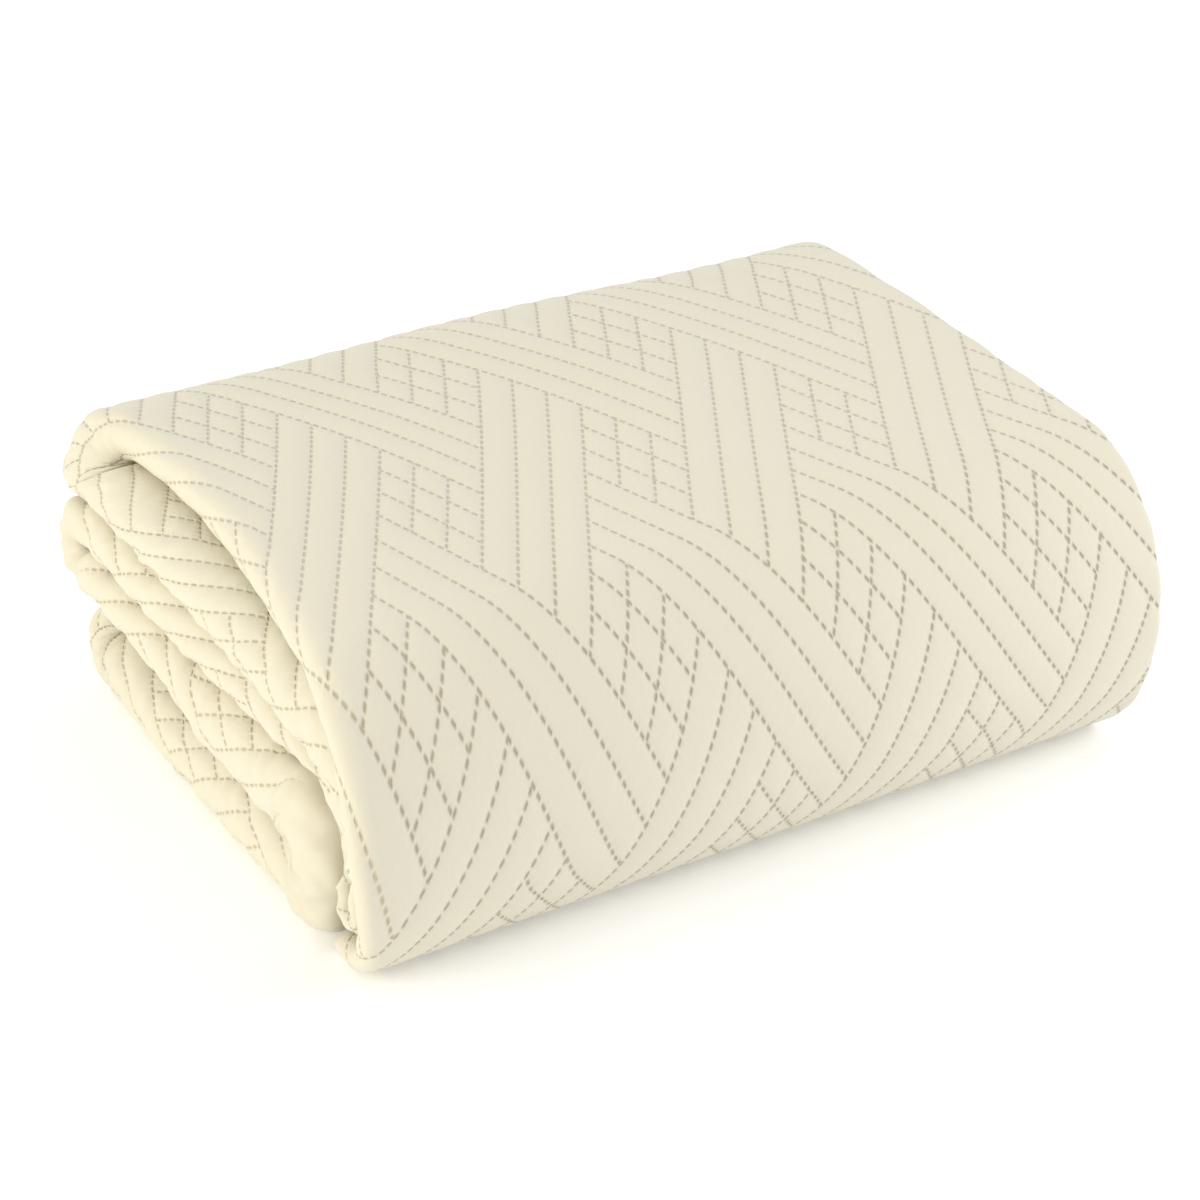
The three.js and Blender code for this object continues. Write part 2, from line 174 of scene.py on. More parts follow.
# Left end of each bend: recess at its start and its stop, and how full its roll is
BEND_ENDS = {
    "top_bend": ((20, 3), 0.55),
    "corner": ((1, 1), 0.1),
    "hang": ((3, 4), 1.0),
    "curl": ((6, 8), 1.0),
    "rise": ((14, 16), 1.0),
    "middle_bend": ((1, 2), 0.28),
    "drop": ((0, 1), 0.6),
    "foot": ((0, 1), 0.4),
    "low_bend_under": ((8, 8), 1.0),
    "low_bend_over": ((8, 26), 1.0),
}

# Left end of each pass: recess at its start and its stop, and the half wave between them
PASS_ENDS = {
    "second": ((2, 3), -2),
    "third": ((14, 4), -6),
    "fourth": ((2, 0), 0),
    "fifth": ((4, 8), -3),
    "turned_in": ((26, 32), 12),
}


def wrapped_pass():
    """Four stretches: the tuck along the surface, the lower quarter of the round front on an
    ellipse, the upper quarter on another, and the flat top up to the back bend."""
    t = np.linspace(0, 1, DENSE)
    foot, y = (start + (LOW_Y - start) * t for start in (TUCK_FOOT_Y, TUCK_Y))
    tuck = rows_of((foot, surface(foot)), (y, surface(y) + TUCK_TOP), TUCK_RECESS,
                   short=TUCK_SHORT)
    low = rows_of(ring((LOW_Y, MIDDLE_Z, LOW_Y - FRONT_Y, MIDDLE_Z), 270 - 90 * t),
                  ring((LOW_Y, MIDDLE_Z, LOW_WALL, MIDDLE_Z - TUCK_TOP), 270 - 90 * t),
                  TUCK_RECESS + (FRONT_RECESS - TUCK_RECESS) * t,
                  short=TUCK_SHORT + (FRONT_SHORT - TUCK_SHORT) * t)
    inside = over("b")(HIGH_Y) - MIDDLE_Z
    high = rows_of(ring((HIGH_Y, MIDDLE_Z, HIGH_Y - FRONT_Y, HEIGHT - MIDDLE_Z), 180 - 90 * t),
                   ring((HIGH_Y, MIDDLE_Z, HIGH_WALL, inside), 180 - 90 * t),
                   FRONT_RECESS + (TOP_RECESS - FRONT_RECESS) * t * t,
                   short=FRONT_SHORT * (1 - t))
    y = HIGH_Y + (BACK_Y - HIGH_Y) * t
    wave = np.sin(np.pi * np.minimum(1, t * HOLLOW_SHARE))
    top = rows_of((y, crease("top", y)), (y, over("b")(y)), TOP_RECESS + TOP_HOLLOW * wave)
    return [tuck, low, high, top]


def in_front(ry, top):
    """An ellipse about the middle of the round front, up to the crease top at its highest."""
    return (HIGH_Y, MIDDLE_Z, ry, float(top(HIGH_Y)) - MIDDLE_Z)


def bundle_segments():
    """All segments of the bundle, from its tucked end to its turned-in end, by zone. Zones are
    the parts of the path that are meshed alike."""
    e_top = float(crease("e", HIGH_Y))
    rt, rm, rl, fl = REAR_TOP, REAR_MIDDLE, REAR_LOW, FRONT_LOW
    core = (BACK_Y, rt["core_z"], rt["core"], rt["core"])
    front_core = (fl["y"], e_top, fl["core"], fl["core"])
    low_core = (rl["y"], rl["core_z"], rl["core"], rl["core"])
    top_rz = float(crease("top", BACK_Y)) - rt["z"]
    corner_rz = rt["z"] - float(over("c")(rt["low_y"]))
    rise_rz = float(over("d")(HIGH_Y)) - e_top
    drop_rz = float(under("d")(HIGH_Y)) - e_top
    top_bend = bend((90, 0), (BACK_Y, rt["z"], rt["out"], top_rz), core, *BEND_ENDS["top_bend"])
    corner = bend((-20, -90), (rt["low_y"], rt["z"], rt["low"], corner_rz), core,
                  *BEND_ENDS["corner"], fullness=SQUARED)
    second = flat_pass((rt["low_y"], BACK_Y), (HIGH_Y, HIGH_Y), over("c"), under("b"),
                       *PASS_ENDS["second"])
    hang = bend((90, 180), in_front(C_WALL, over("c")), in_front(HIGH_WALL - GAP, under("b")),
                *BEND_ENDS["hang"])
    curl = bend((180, 360), CURL_IN, CURL_OUT, *BEND_ENDS["curl"])
    rise = bend((176, 92), in_front(UNDER_WALL, under("c")), (fl["y"], e_top, fl["up"], rise_rz),
                *BEND_ENDS["rise"])
    third = flat_pass((HIGH_Y, fl["y"]), (rm["y"], rm["y"]), under("c"), over("d"),
                      *PASS_ENDS["third"])
    middle_bend = bend((90, -90), (rm["y"], rm["z"], rm["out"], rm["out"]),
                       (rm["y"], rm["z"], rm["core"], rm["core"]),
                       *BEND_ENDS["middle_bend"], fullness=SQUARED)
    fourth = flat_pass((rm["y"], rm["y"]), (fl["y"], fl["y"]), over("f"), under("d"),
                       *PASS_ENDS["fourth"])
    drop = bend((90, 180), front_core, (fl["y"], e_top, fl["out"], drop_rz), *BEND_ENDS["drop"])
    foot = bend((205, 270), front_core, (fl["foot_y"], e_top, fl["foot"], e_top),
                *BEND_ENDS["foot"], last_fullness=SQUARED)
    fifth = flat_pass((fl["y"], fl["foot_y"]), (rl["y"], rl["y"]), under("e"), surface,
                      *PASS_ENDS["fifth"])
    low_bend = [bend((270, 345), low_core, (rl["y"], rl["z"], rl["out"], rl["z"]),
                     *BEND_ENDS["low_bend_under"]),
                bend((15, 90), low_core, (rl["y"], rl["z"], rl["out"], rl["out"]),
                     *BEND_ENDS["low_bend_over"])]
    turned_in = flat_pass((rl["y"], rl["y"]), (ENDED_Y, ENDED_Y), over("e"), under("f"),
                          *PASS_ENDS["turned_in"])
    return [
        ("wrap", [*wrapped_pass(), top_bend, corner]),
        ("inner", [second, hang, curl, rise, third]),
        ("middle_bend", [middle_bend]),
        ("inner", [fourth, drop, foot, fifth]),
        ("low_bend", low_bend),
        ("inner", [turned_in]),
    ]


def smoothed(values, sigma):
    """Gaussian smoothing along a path with one row a millimetre. The ends are held."""
    reach = int(3 * sigma)
    kernel = np.exp(-0.5 * (np.arange(-reach, reach + 1) / sigma) ** 2)
    kernel /= kernel.sum()
    padded = np.pad(values, (reach, reach), mode="edge")
    return np.convolve(padded, kernel, mode="valid")


def bundle_path():
    """The whole path at one row a millimetre, with its rounded corners, and the zones' ends.
    Distance along it is the longer of the steps of its two faces."""
    zones = []
    tables = []
    count = 0
    for zone, segments in bundle_segments():
        tables.extend(segments)
        count += sum(len(s) for s in segments)
        zones.append((zone, count - 1))
    rows = np.concatenate(tables)
    step_a = np.hypot(np.diff(rows[:, 0]), np.diff(rows[:, 1]))
    step_b = np.hypot(np.diff(rows[:, 2]), np.diff(rows[:, 3]))
    along = np.concatenate([[0], np.cumsum(np.maximum(step_a, step_b) + 1e-6)])
    even = np.arange(0, along[-1], 1.0)
    path = np.stack([smoothed(np.interp(even, along, field), sigma)
                     for field, sigma in zip(rows.T, SMOOTHING)], axis=1)
    on_top = rows[:, 1] > 0.9 * HEIGHT
    top_start = np.argmax((rows[:, 0] >= FIRST_Y) & on_top)
    return even, path, [(zone, along[last]) for zone, last in zones], along[top_start]


# Quilting: two families of stitched lines. Weights of the powers of the cloth's own coordinates,
# each over the pattern's length: rows are powers across the cloth, columns are powers along it
PATTERN_LENGTH = 200.0
RISING_LINES = np.array([
    (6.80, -4.23, 0.449, 0.195),
    (8.54, -0.121, -0.147, 0.0),
    (-0.048, -0.029, 0.0, 0.0),
    (0.030, 0.0, 0.0, 0.0),
])
FALLING_LINES = np.array([
    (7.77, 4.81, 1.455, 0.443),
    (8.97, -0.995, -0.705, 0.0),
    (-0.297, -0.300, 0.0, 0.0),
    (-0.004, 0.0, 0.0, 0.0),
])
PULLED = {"across": (-1.35, 1.4), "along": (-2.25, 0.05)}   # where the lines are pulled askew
RISING_STEP = 20.6            # across the lines, between neighbours
FALLING_STEP = 19.6
CROSSING_ANGLE = 51.4         # degrees, between the families
REPEAT = 6                    # lines from one band to the next
BAND = 3                      # stripes in a band
STITCHES = 4.0                # between two crossings
NO_LINE = 99.0                # distance to a line that doesn't show


def lattice(u, v):
    """Coordinates that grow by one from line to line of each family. Each is a cubic in the
    cloth's coordinates u and v inside the pulled part, and goes on evenly outside it."""
    u, v = u / PATTERN_LENGTH, v / PATTERN_LENGTH
    across, along = np.clip(u, *PULLED["across"]), np.clip(v, *PULLED["along"])
    return [
        np.polynomial.polynomial.polyval2d(across, along, lines)
        + lines[1, 0] * (u - across) + lines[0, 1] * (v - along)
        for lines in (RISING_LINES, FALLING_LINES)
    ]


def line_distance(own, other, own_step, odd_over):
    """Distance in millimetres to the nearest line of one family that shows, or a large number.
    Lines 0 to 3 of each six are the borders of a band, which passes over and under the bands of
    the other family; lines 4 and 5 show only between those bands."""
    line = np.round(own)
    stripe = np.floor(other)
    infill = np.mod(line, REPEAT) > BAND
    in_band = np.mod(stripe, REPEAT) < BAND
    odd = np.mod(np.floor(line / REPEAT) + np.floor(stripe / REPEAT), 2) > 0.5
    shows = ~in_band | (~infill & (odd == odd_over))
    return np.where(shows, np.abs(own - line) * own_step, NO_LINE)


def quilting(r, f, width):
    """Height of the padding, 1 between the stitched lines and 0 on them: one minus the product
    of two bell curves of the distance to each family's nearest line."""
    rising = np.exp(-(line_distance(r, f, RISING_STEP, True) / width) ** 2)
    falling = np.exp(-(line_distance(f, r, FALLING_STEP, False) / width) ** 2)
    return (1 - rising) * (1 - falling)


# Stretches of the folded width: last layer, outer left bend, first layer, right bend, second
# layer, inner left bend, third layer. Cells across each, for the outer face, by zone
OUTER_CELLS = {
    "wrap": (4, 20, 168, 8, 4, 6, 4),
    "inner": (4, 20, 4, 8, 4, 6, 4),
    "middle_bend": (4, 20, 84, 8, 4, 6, 4),
    "low_bend": (84, 20, 4, 8, 4, 6, 4),
}
INNER_CELLS = (4, 10, 4, 4, 4, 3, 4)
ROW_STEP = {"wrap": 3.1, "inner": 3.6, "middle_bend": 3.6, "low_bend": 3.6}
ROWS_PER_INNER = 4
LAST_HEM, THIRD_HEM = 4.0, 9.0
HEM_SHARES = np.array([0.0, 0.008, 0.02, 0.3, 1.0])


def stretch_shares(stretch, cells):
    """Where the stations of a stretch lie on it, from 0 to 1. A hem of few cells gets close
    ones at its edge."""
    few = cells == len(HEM_SHARES) - 1
    if few and stretch == 0:
        return HEM_SHARES
    if few and stretch == len(INNER_CELLS) - 1:
        return 1 - HEM_SHARES[::-1]
    return np.linspace(0, 1, cells + 1)


def width_profile(path, cells):
    """The folded width on every row: x, the height n over the bundle's last face, the outward
    direction (nx, nn), the place u across the flat cloth, and the row's cloth thickness. Each
    bend is half an ellipse of its own depth; the layers between them are straight."""
    ay, az, by, bz, recess, roll, short = (field[:, None] for field in path.T)
    thickness = np.hypot(ay - by, az - bz)
    cloth = np.clip(thickness / LAYERS * CLOTH_SHARE, THINNEST, THICKEST)
    spread = (thickness - cloth) / (LAYERS - 1)
    middle = thickness / 2
    bulge = roll * np.minimum(ROLL_DEPTH * thickness, DEEPEST_ROLL)
    depth = np.maximum(bulge - cloth / 2, spread / 2 + cloth + LEAST_GAP)
    left = -LENGTH / 2 + recess + depth + cloth / 2
    right = LENGTH / 2 - short - spread / 2 - cloth / 2
    level = [middle + share * spread for share in (1.5, 0.5, -0.5, -1.5)]
    outer_arc = np.pi / 2 * (depth + 1.5 * spread)
    small_arc = np.pi / 2 * spread
    columns = []

    def arc(x, n, rx, rn, degrees, outward):
        angle = np.radians(degrees)
        nx, nn = np.cos(angle) / rx, np.sin(angle) / rn
        size = np.hypot(nx, nn) * outward
        return x + rx * np.cos(angle), n + rn * np.sin(angle), nx / size, nn / size

    def line(x, n, side):
        return x, n + 0 * x, 0 * x, side + 0 * x

    for stretch, cell_count in enumerate(cells):
        t = stretch_shares(stretch, cell_count)[None, :]
        t = t if stretch == 0 else t[:, 1:]
        if stretch == 0:
            x = right - LAST_HEM + (left - right + LAST_HEM) * t
            place, u = line(x, level[3], -1.0), 2 * left - outer_arc - x
        elif stretch == 1:
            place = arc(left, middle, depth, 1.5 * spread, 270 - 180 * t, 1)
            u = left - outer_arc * (1 - t)
        elif stretch == 2:
            x = left + (right - left) * t
            place, u = line(x, level[0], 1.0), x
        elif stretch == 3:
            place = arc(right, middle + spread, spread / 2, spread / 2, 90 - 180 * t, 1)
            u = right + small_arc * t
        elif stretch == 4:
            x = right + (left - right) * t
            place, u = line(x, level[1], -1.0), 2 * right + small_arc - x
        elif stretch == 5:
            place = arc(left, middle, spread / 2, spread / 2, 90 + 180 * t, -1)
            u = 2 * right + small_arc - left + small_arc * t
        else:
            x = left + (right - THIRD_HEM - left) * t
            place, u = line(x, level[2], 1.0), 2 * (right - left) + 2 * small_arc + x
        columns.append(np.stack([*place, u + 0 * place[0]]))
    x, n, nx, nn, u = np.concatenate(columns, axis=2)
    return {"x": x, "n": n, "nx": nx, "nn": nn, "u": u, "cloth": cloth, "thickness": thickness}


# How the stack has settled. A sway has its height, its length over 2 pi and its start.
SWAY_X, SWAY_Y, LEAN_BACK = (2.5, 95, 0.6), (1.5, 90, 0.4), 7.0
REAR_CORNER_RISE, REAR_RISE = 0.028, 0.014
SAG, SAG_X, SAG_Y = 0.006, 48, 170
SETTLED_MIDDLE = (1.1, 1.6)   # of the solid after it has settled; it becomes the origin


def smooth_step(value, low, high):
    """0 below low, 1 above high and 3 t squared minus 2 t cubed between."""
    t = np.clip((value - low) / (high - low), 0, 1)
    return t * t * (3 - 2 * t)


def settle(x, y, z):
    """The slow unevenness of the stack: sways of single sine waves that grow with height, a lean
    towards the left rear corner, and a rise along the rear. Height 0 stays where it is."""
    def sway(size, length, start, place):
        return size * np.sin(place / length + start)

    up = z / HEIGHT
    rear = smooth_step(y, FRONT_Y, -FRONT_Y)
    left = smooth_step(-x, -LENGTH / 2, LENGTH / 2)
    return (
        x + up * sway(*SWAY_X, y),
        y + up * (LEAN_BACK * rear * left + sway(*SWAY_Y, x)),
        z * (1 + REAR_CORNER_RISE * rear * left + REAR_RISE * rear * np.cos(np.pi * x / LENGTH)
             + SAG * np.sin(x / SAG_X + y / SAG_Y)),
    )


TOP_PUFF, END_PUFF = 0.9, 1.5  # how far the padding stands over the stitched lines
GROOVE_WIDTH = 4.6
CLEAR_FROM, CLEAR_TO = 6, 26   # height over which the padding begins, off the surface
LEFT_FROM, LEFT_TO = 225, 268  # distance to the left over which the puckers begin
LOOSE_FROM, LOOSE_TO = 20, 90  # distance along, past the wrapped pass, over which they grow

PUCKER_LENGTHS = (12.0, 14.0, 17.0, 21.0, 26.0, 33.0)
PUCKER_HEIGHT = 0.021         # of each wave, over its length
SWELL_LENGTH, SWELL_SLANT = 4.3, 0.6   # the slower wave's length, over the wave's, and slant
SMOOTH_SHARE = 0.3            # of the puckers on the wrapped pass
PUCKER_TURN = 0.65            # radians to either side of the cloth's length
PUCKER_SEED = 11


def puckers(u, v):
    """Small gathers of the cloth: a sum of sine waves of seeded directions near the cloth's
    length, each swelling and fading with a slower wave."""
    rng = np.random.default_rng(PUCKER_SEED)
    height = 0 * u
    for length in PUCKER_LENGTHS:
        turn = rng.uniform(-PUCKER_TURN, PUCKER_TURN)
        first, second = rng.uniform(0, 2 * np.pi, 2)
        wave = np.sin(2 * np.pi * (v * np.cos(turn) + u * np.sin(turn)) / length + first)
        slow = 2 * np.pi * (v + SWELL_SLANT * u) / (SWELL_LENGTH * length)
        swell = 0.5 + 0.5 * np.sin(slow + second)
        height = height + PUCKER_HEIGHT * length * wave * swell
    return height


def cloth_points(distance, path_at, v_start, cells, outer):
    """Points of one face of the cloth on rows at the given distances: the profile across the
    width, lifted by half the cloth's thickness, plus the heights of the padding and of the
    puckers on the outer face."""
    path = path_at(distance)
    ay, az, by, bz = (field[:, None] for field in path.T[:4])
    profile = width_profile(path, cells)
    u = profile["u"]
    v = (distance - v_start)[:, None] + 0 * u
    r, f = lattice(u, v)
    lift = profile["cloth"] / 2 + 0 * u
    if outer:
        clear = smooth_step(az, CLEAR_FROM, CLEAR_TO)
        ended = smooth_step(-profile["x"], LEFT_FROM, LEFT_TO)
        gathered = SMOOTH_SHARE + (1 - SMOOTH_SHARE) * smooth_step(v, LOOSE_FROM, LOOSE_TO)
        puff = TOP_PUFF + (END_PUFF - TOP_PUFF) * ended * gathered
        lift = lift - puff * (1 - quilting(r, f, GROOVE_WIDTH)) * clear
        lift = lift + puckers(u, v) * ended * clear * gathered
    else:
        lift = -lift
    x = profile["x"] + profile["nx"] * lift
    share = (profile["n"] + profile["nn"] * lift) / profile["thickness"]
    x, y, z = settle(x, by + (ay - by) * share, bz + (az - bz) * share)
    z = np.maximum(z, 0 if outer else LEAST_GAP)
    return [np.stack(values, axis=2) for values in ((x, y, z), (r, f), (u, v))]


def strip(low, high):
    """Faces between two rows of point numbers. Rows of one length give quads. Where one row has
    a whole number of times the other's cells, each long cell gets a fan of triangles."""
    if len(low) == len(high):
        return np.stack([low[:-1], low[1:], high[1:], high[:-1]], axis=1), np.empty((0, 3), int)
    flip = len(low) < len(high)
    fine, coarse = (high, low) if flip else (low, high)
    ratio = (len(fine) - 1) // (len(coarse) - 1)
    cell = np.arange(len(fine) - 1)
    owner = cell // ratio
    apex = np.where(cell % ratio < ratio // 2, coarse[owner], coarse[owner + 1])
    fans = np.stack([fine[:-1], fine[1:], apex], axis=1)
    split = fine[np.arange(len(coarse) - 1) * ratio + ratio // 2]
    joins = np.stack([coarse[:-1], split, coarse[1:]], axis=1)
    faces = np.concatenate([fans, joins])
    return np.empty((0, 4), int), faces[:, ::-1] if flip else faces


def stretch_slices(cells):
    """The stations of each stretch as slices that share their end stations."""
    edges = np.concatenate([[0], np.cumsum(cells)])
    return [slice(a, b + 1) for a, b in zip(edges[:-1], edges[1:])]


def cloth_surface():
    """The closed surface of the cloth: points, quads, triangles, lattice and flat coordinates.
    The outer face is a grid a zone, joined by fans; the inner face is one coarse grid."""
    even, path, zones, v_start = bundle_path()

    def path_at(distance):
        return np.stack([np.interp(distance, even, field) for field in path.T], axis=1)

    points, lattices, flats, quads, triangles = [], [], [], [], []
    count = 0

    def add_grid(distance, cells, outer):
        """Adds a grid of points with its quads and gives the points' numbers."""
        nonlocal count
        grid, lattice_of, flat_of = cloth_points(distance, path_at, v_start, cells, outer)
        ids = count + np.arange(grid.shape[0] * grid.shape[1]).reshape(grid.shape[:2])
        count += ids.size
        points.append(grid.reshape(-1, 3))
        lattices.append(lattice_of.reshape(-1, 2))
        flats.append(flat_of.reshape(-1, 2))
        inside = np.stack([ids[:-1, :-1], ids[:-1, 1:], ids[1:, 1:], ids[1:, :-1]], axis=2)
        inside = inside.reshape(-1, 4)
        quads.append(inside if outer else inside[:, ::-1])
        return ids

    def add_strip(low, high, flip=False):
        """Joins two rows of points, with the faces turned round where flip is true."""
        four, three = strip(low, high)
        quads.append(four[:, ::-1] if flip else four)
        triangles.append(three[:, ::-1] if flip else three)

    start = 0.0
    outer_rows = []
    outer_distance = []
    before = None
    total = 0
    for index, (zone, stop) in enumerate(zones):
        stop = min(stop, even[-1])
        rows = int(round((stop - start) / ROW_STEP[zone]))
        if index == len(zones) - 1:
            rows += (1 - total - rows) % ROWS_PER_INNER
        total += rows
        step = (stop - start) / rows
        distance = start + step * (np.arange(rows) + (0.5 if index else 0.0))
        if index == len(zones) - 1:
            distance[-1] = stop
        ids = add_grid(distance, OUTER_CELLS[zone], True)
        if before is not None:
            last_ids, last_cells = before
            pairs = zip(stretch_slices(last_cells), stretch_slices(OUTER_CELLS[zone]))
            for low, high in pairs:
                add_strip(last_ids[low], ids[0][high])
        before = (ids[-1], OUTER_CELLS[zone])
        outer_rows.append(ids)
        outer_distance.append(distance)
        start = stop
    distance = np.concatenate(outer_distance)[::ROWS_PER_INNER]
    inner = add_grid(distance, INNER_CELLS, False)
    first_hem = np.concatenate([ids[:, 0] for ids in outer_rows])
    last_hem = np.concatenate([ids[:, -1] for ids in outer_rows])
    add_strip(first_hem, inner[:, 0])
    add_strip(last_hem, inner[:, -1], True)
    ends = ((0, outer_rows[0][0], OUTER_CELLS["wrap"], False),
            (-1, outer_rows[-1][-1], OUTER_CELLS["inner"], True))
    for row, outer_row, cells, flip in ends:
        for low, high in zip(stretch_slices(cells), stretch_slices(INNER_CELLS)):
            add_strip(outer_row[low], inner[row][high], not flip)
    points = np.concatenate(points)
    points[:, :2] -= SETTLED_MIDDLE
    return (points * MM, np.concatenate(quads), np.concatenate(triangles),
            np.concatenate(lattices), np.concatenate(flats) * MM)


def mesh_object(name, points, quads, triangles, uv_maps):
    """Puts points, quads and triangles into a mesh with its UV maps, all as whole arrays."""
    mesh = bpy.data.meshes.new(name)
    corners = np.concatenate([quads.ravel(), triangles.ravel()]).astype(np.int32)
    starts = np.concatenate([np.arange(len(quads)) * 4,
                             len(quads) * 4 + np.arange(len(triangles)) * 3]).astype(np.int32)
    mesh.vertices.add(len(points))
    mesh.vertices.foreach_set("co", points.astype(np.float32).ravel())
    mesh.loops.add(len(corners))
    mesh.loops.foreach_set("vertex_index", corners)
    mesh.polygons.add(len(starts))
    mesh.polygons.foreach_set("loop_start", starts)
    mesh.update(calc_edges=True)
    for map_name, values in uv_maps.items():
        layer = mesh.uv_layers.new(name=map_name)
        layer.data.foreach_set("uv", values[corners].astype(np.float32).ravel())
    mesh.polygons.foreach_set("use_smooth", np.ones(len(starts), bool))
    mesh.validate()
    piece = bpy.data.objects.new(name, mesh)
    bpy.context.scene.collection.objects.link(piece)
    return piece


class NodeMaker:
    """Adds shader nodes by short calls, so that a formula reads as one."""

    def __init__(self, tree):
        self.tree = tree

    def add(self, kind, **settings):
        node = self.tree.nodes.new(kind)
        for key, value in settings.items():
            setattr(node, key, value)
        return node

    def math(self, operation, *values):
        node = self.add("ShaderNodeMath", operation=operation)
        for socket, value in zip(node.inputs, values):
            if isinstance(value, bpy.types.NodeSocket):
                self.tree.links.new(value, socket)
            else:
                socket.default_value = value
        return node.outputs[0]

    def link(self, source, target):
        self.tree.links.new(source, target)

    def mix_colour(self, share, low, high):
        node = self.add("ShaderNodeMix", data_type="RGBA", clamp_factor=True)
        for index, value in ((0, share), (6, low), (7, high)):
            socket = node.inputs[index]
            if isinstance(value, bpy.types.NodeSocket):
                self.link(value, socket)
            else:
                socket.default_value = value
        return node.outputs[2]

    def ramp(self, value, low, high):
        node = self.add("ShaderNodeMapRange", interpolation_type="SMOOTHSTEP")
        self.link(value, node.inputs["Value"])
        node.inputs["From Min"].default_value = low
        node.inputs["From Max"].default_value = high
        return node.outputs[0]

    def noise(self, vector, scale, detail=2.0, roughness=0.5):
        node = self.add("ShaderNodeTexNoise")
        node.inputs["Scale"].default_value = scale
        node.inputs["Detail"].default_value = detail
        node.inputs["Roughness"].default_value = roughness
        self.link(vector, node.inputs["Vector"])
        return node.outputs["Fac"]


# The single stitches. Lengths on the lattice are millimetres, places on the flat cloth metres
STITCH_LENGTH, STITCH_WIDTH = 4.0, 1.6
STITCH_FALL = 0.9             # how fast a stitch fades outside its oval
GROOVE_FINE, GATHER_WIDTH = 2.4, 5.5
RISING_SHIFT, FALLING_SHIFT = 0.37, 0.61   # of a stitch, from one line to the next
FRONT_FROM, FRONT_TO = -0.20, -0.31   # along the cloth, where it turns down at the front
END_FROM, END_TO = -0.25, -0.28       # across it, where it turns in at the left end
FAINT, PLAIN = 0.30, 0.82             # how much of their own colour the stitches show
THIN = 1.3                            # how much narrower they are where they are faint
STITCH_IN_WARM_LIGHT = (0.60, 0.42, 0.13, 1.0)  # painted warm light: the stitches' tone at the left end, warmer where the warm light from the left and its bounce between the rolls fall
END_SHOW = 0.5                        # how much of it they show
GATHERED_BENDS = ((1.13, 1.28), (1.54, 1.74))   # along, bends whose gathered ends hide theirs
GATHERED_EDGE = 0.03

# The cotton: scale, detail and roughness of its noises, and what they do
MOTTLE, CREASED, YARN = (9.0, 3.0), (160.0, 3.0), (1500.0, 2.0, 0.7)
MOTTLE_SHARE, YARN_SHARE = 0.55, 0.10
DEEPER = (0.955, 0.94, 0.90)  # the darker tone of the mottle, as shares of the cotton's colour
WEAVE_SCALE, WEAVE_GAP = 900.0, 0.12
SHEEN, SHEEN_ROUGHNESS, GLOSS = 0.25, 0.5, 0.25

# Bump of each feature, in millimetres
GROOVE_BUMP, STITCH_BUMP, GATHER_BUMP = -0.5, -0.9, 0.14
CREASED_BUMP, YARN_BUMP, WEAVE_BUMP = 0.16, 0.05, -0.03


def stitch_family(maker, own, other, own_step, other_step, odd_over, shift, narrow):
    """One family of stitched lines from its lattice coordinates. Gives a fine groove, 1 on the
    line, the pressed stitch, 1 in its middle, and the small gather between two stitches. The
    stitch is narrower where narrow is over 1."""
    m = maker.math
    pitch = other_step / np.sin(np.radians(CROSSING_ANGLE)) / STITCHES
    line = m("ROUND", own)
    stripe = m("FLOOR", other)
    infill = m("GREATER_THAN", m("FLOORED_MODULO", line, REPEAT), BAND + 0.5)
    in_band = m("LESS_THAN", m("FLOORED_MODULO", stripe, REPEAT), BAND - 0.5)
    blocks = m("ADD", *(m("FLOOR", m("DIVIDE", value, REPEAT)) for value in (line, stripe)))
    odd = m("GREATER_THAN", m("FLOORED_MODULO", blocks, 2.0), 0.5)
    passes_over = odd if odd_over else m("SUBTRACT", 1.0, odd)
    in_sight = m("MULTIPLY", m("SUBTRACT", 1.0, infill), passes_over)
    shows = m("MULTIPLY_ADD", in_band, m("SUBTRACT", in_sight, 1.0), 1.0)
    away = m("MULTIPLY", m("ABSOLUTE", m("SUBTRACT", own, line)), own_step)
    phase = m("FRACT", m("MULTIPLY_ADD", other, STITCHES, m("MULTIPLY", line, shift)))
    along = m("MULTIPLY", m("ABSOLUTE", m("SUBTRACT", phase, 0.5)), pitch)
    bell, wide = (
        m("EXPONENT", m("MULTIPLY", m("POWER", m("DIVIDE", away, width), 2.0), -1.0))
        for width in (GROOVE_FINE, GATHER_WIDTH)
    )
    oval = m("ADD", m("POWER", m("DIVIDE", m("MULTIPLY", away, narrow), STITCH_WIDTH / 2), 2.0),
             m("POWER", m("DIVIDE", along, STITCH_LENGTH / 2), 4.0))
    pressed = m("EXPONENT", m("MULTIPLY", oval, -STITCH_FALL))
    gather = m("MULTIPLY", wide, m("COSINE", m("MULTIPLY", phase, 2 * np.pi)))
    return [m("MULTIPLY", shows, value) for value in (bell, pressed, gather)]


